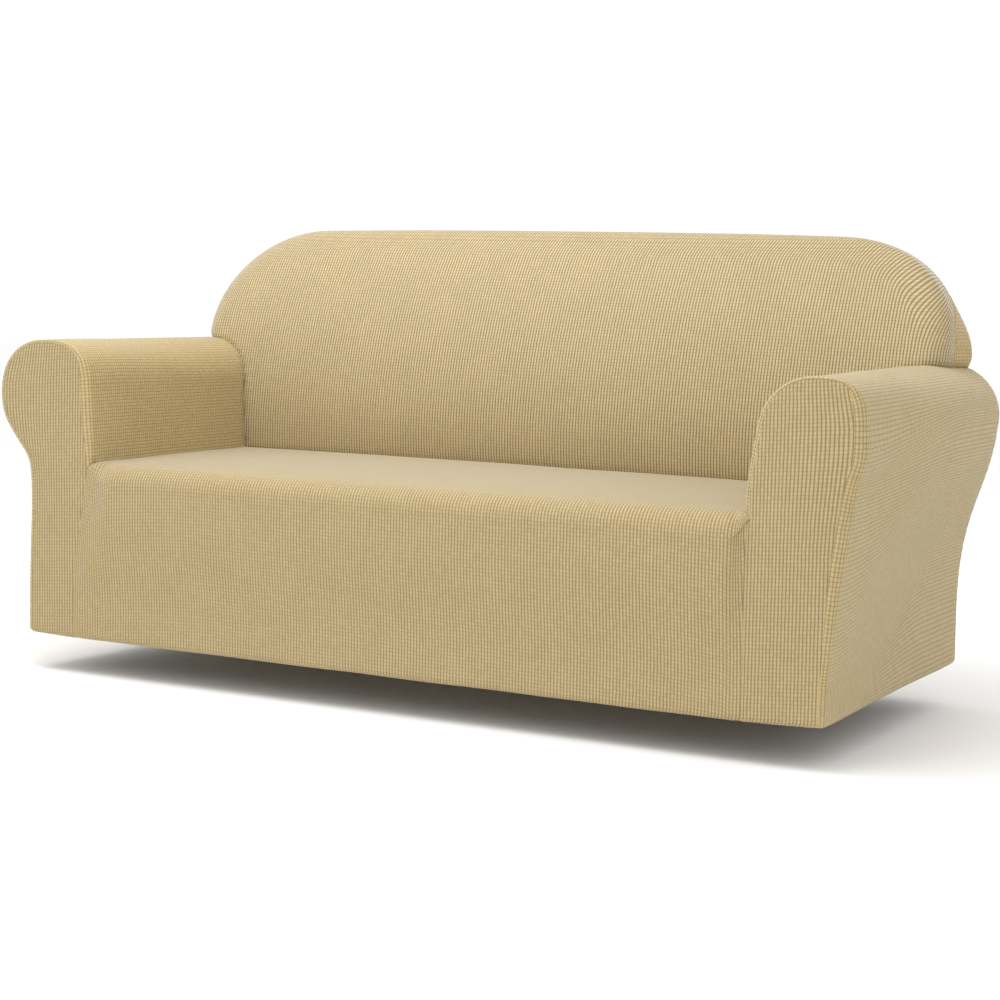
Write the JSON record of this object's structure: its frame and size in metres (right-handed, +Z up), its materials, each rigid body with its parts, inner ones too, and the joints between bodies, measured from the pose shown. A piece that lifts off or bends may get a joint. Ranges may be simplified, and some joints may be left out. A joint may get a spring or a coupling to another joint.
{
  "type": "sofa slipcover",
  "caption": "Close-fitting stretch slipcover for a sofa with rolled arms and a winged back, in small-check jacquard knit, hollow and open below.",
  "frame": {"origin": "under the middle of the crest of the back, where the sofa inside holds the cover up", "axes": "+Z up, +Y towards the outside of the back, +X to the right of someone who faces the seat"},
  "size_m": [2.0448, 0.8289, 0.922],
  "materials": {
    "knit": "matte small-check jacquard stretch knit in sand beige"
  },
  "bodies": {
    "root": {"seat_panel": "knit", "arm_front_left": "knit", "arm_front_right": "knit", "arm_left": "knit", "arm_right": "knit", "inside_back": "knit", "wing_gusset_left": "knit", "wing_gusset_right": "knit", "outside_back": "knit"}
  },
  "joints": []
}
